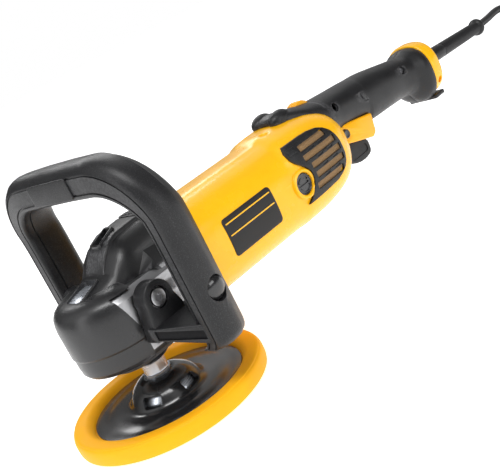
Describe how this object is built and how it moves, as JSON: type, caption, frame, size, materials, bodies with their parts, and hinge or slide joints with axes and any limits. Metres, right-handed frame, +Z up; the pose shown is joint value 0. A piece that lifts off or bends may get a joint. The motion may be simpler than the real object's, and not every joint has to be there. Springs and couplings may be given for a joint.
{
  "type": "rotary polisher",
  "caption": "Corded rotary polisher with a round backing pad on a vertical spindle, a bail handle over the gear case, a barrel motor and a slim trigger handle.",
  "frame": {"origin": "centre of the pad's lower face, on the spindle axis", "axes": "+X back along the motor and handle towards the cord, +Y to the tool's left seen from behind the handle, +Z up away from the pad"},
  "size_m": [0.9802, 0.216, 0.2241],
  "materials": {
    "yellow_plastic": "bright yellow, satin gloss",
    "orange_plastic": "orange-yellow, satin gloss",
    "black_plastic": "glass-filled, fine speckle",
    "grey_rubber": "soft boot, satin",
    "pad_foam": "yellow moulded pad rim",
    "steel": "turned steel",
    "core_steel": "laminated electrical steel",
    "aluminium": "die-cast, machined faces",
    "copper": "copper segments",
    "carbon": "pressed carbon and phenolic",
    "mesh": "woven wire mesh",
    "brass": "pressed brass",
    "cord_rubber": "flexible cord jacket"
  },
  "bodies": {
    "body": {"armature_bearing_front": "steel", "armature_bearing_rear": "steel", "bail_handle": "black_plastic", "bail_screw_left": "steel", "bail_screw_right": "steel", "bearing_plate": "aluminium", "brush_cap_left": "black_plastic", "brush_cap_right": "black_plastic", "brush_holder_left": "brass", "brush_holder_right": "brass", "brush_left": "carbon", "brush_right": "carbon", "case_screw_1": "steel", "case_screw_2": "steel", "case_screw_3": "steel", "case_screw_4": "steel", "cord_coil": "cord_rubber", "cord_lead": "cord_rubber", "cord_tail": "cord_rubber", "cord_tie": "black_plastic", "dial_housing": "black_plastic", "gear_case": "aluminium", "gear_case_cover": "grey_rubber", "handle_left": "black_plastic", "handle_right": "black_plastic", "handle_screw_1": "steel", "handle_screw_2": "steel", "motor_housing": "yellow_plastic", "plug": "cord_rubber", "rear_band": "yellow_plastic", "rear_lip": "black_plastic", "second_shaft_bearing": "steel", "side_panel_left": "black_plastic", "side_panel_right": "black_plastic", "spindle_bearing_lower": "steel", "spindle_bearing_upper": "steel", "spindle_retainer": "aluminium", "stator": "core_steel", "strain_relief": "cord_rubber", "switch_module": "carbon", "switch_shroud": "orange_plastic", "vent_frame_left": "black_plastic", "vent_frame_right": "black_plastic", "vent_screen_left": "mesh", "vent_screen_right": "mesh"},
    "spindle_assembly": {"pad_foam": "pad_foam", "backing_disc": "black_plastic", "hub_nut": "steel", "spindle": "steel", "bevel_gear": "steel"},
    "second_assembly": {"second_shaft": "steel", "second_gear": "steel"},
    "armature_assembly": {"armature_shaft": "steel", "armature_core": "core_steel", "commutator": "copper", "fan": "black_plastic"},
    "spindle_lock": {"lock_button": "grey_rubber"},
    "trigger_lever": {"trigger": "grey_rubber"},
    "lock_on": {"lock_on_button": "black_plastic"},
    "dial": {"speed_dial": "orange_plastic"}
  },
  "joints": [
    {"name": "spindle_spin", "type": "hinge", "parent": "body", "child": "spindle_assembly", "pos_m": [0, 0, 0.06], "axis": [0, 0, 1], "continuous": true},
    {"name": "second_spin", "type": "hinge", "parent": "body", "child": "second_assembly", "pos_m": [0.03, 0, 0.0825], "axis": [1, 0, 0], "continuous": true},
    {"name": "armature_spin", "type": "hinge", "parent": "body", "child": "armature_assembly", "pos_m": [0.13, 0, 0.1], "axis": [1, 0, 0], "continuous": true},
    {"name": "spindle_lock_press", "type": "slide", "parent": "body", "child": "spindle_lock", "axis": [0, 0, -1], "range_m": [0, 0.0025], "stiffness_N_per_m": 400, "springref_m": -0.001},
    {"name": "trigger_pull", "type": "hinge", "parent": "body", "child": "trigger_lever", "pos_m": [0.309, 0, 0.093], "axis": [0, -1, 0], "range_deg": [0, 7], "stiffness_Nm_per_rad": 0.4, "springref_deg": -5.73},
    {"name": "lock_on_press", "type": "slide", "parent": "body", "child": "lock_on", "axis": [0, 1, 0], "range_m": [0, 0.0025], "stiffness_N_per_m": 300, "springref_m": -0.001},
    {"name": "dial_turn", "type": "hinge", "parent": "body", "child": "dial", "pos_m": [0.28, 0, 0.14], "axis": [0, 1, 0], "range_deg": [0, 270]}
  ],
  "couplings": [
    {"joint": "second_spin", "follows": "spindle_spin", "ratio": 2.5},
    {"joint": "armature_spin", "follows": "spindle_spin", "ratio": -7.2222}
  ]
}
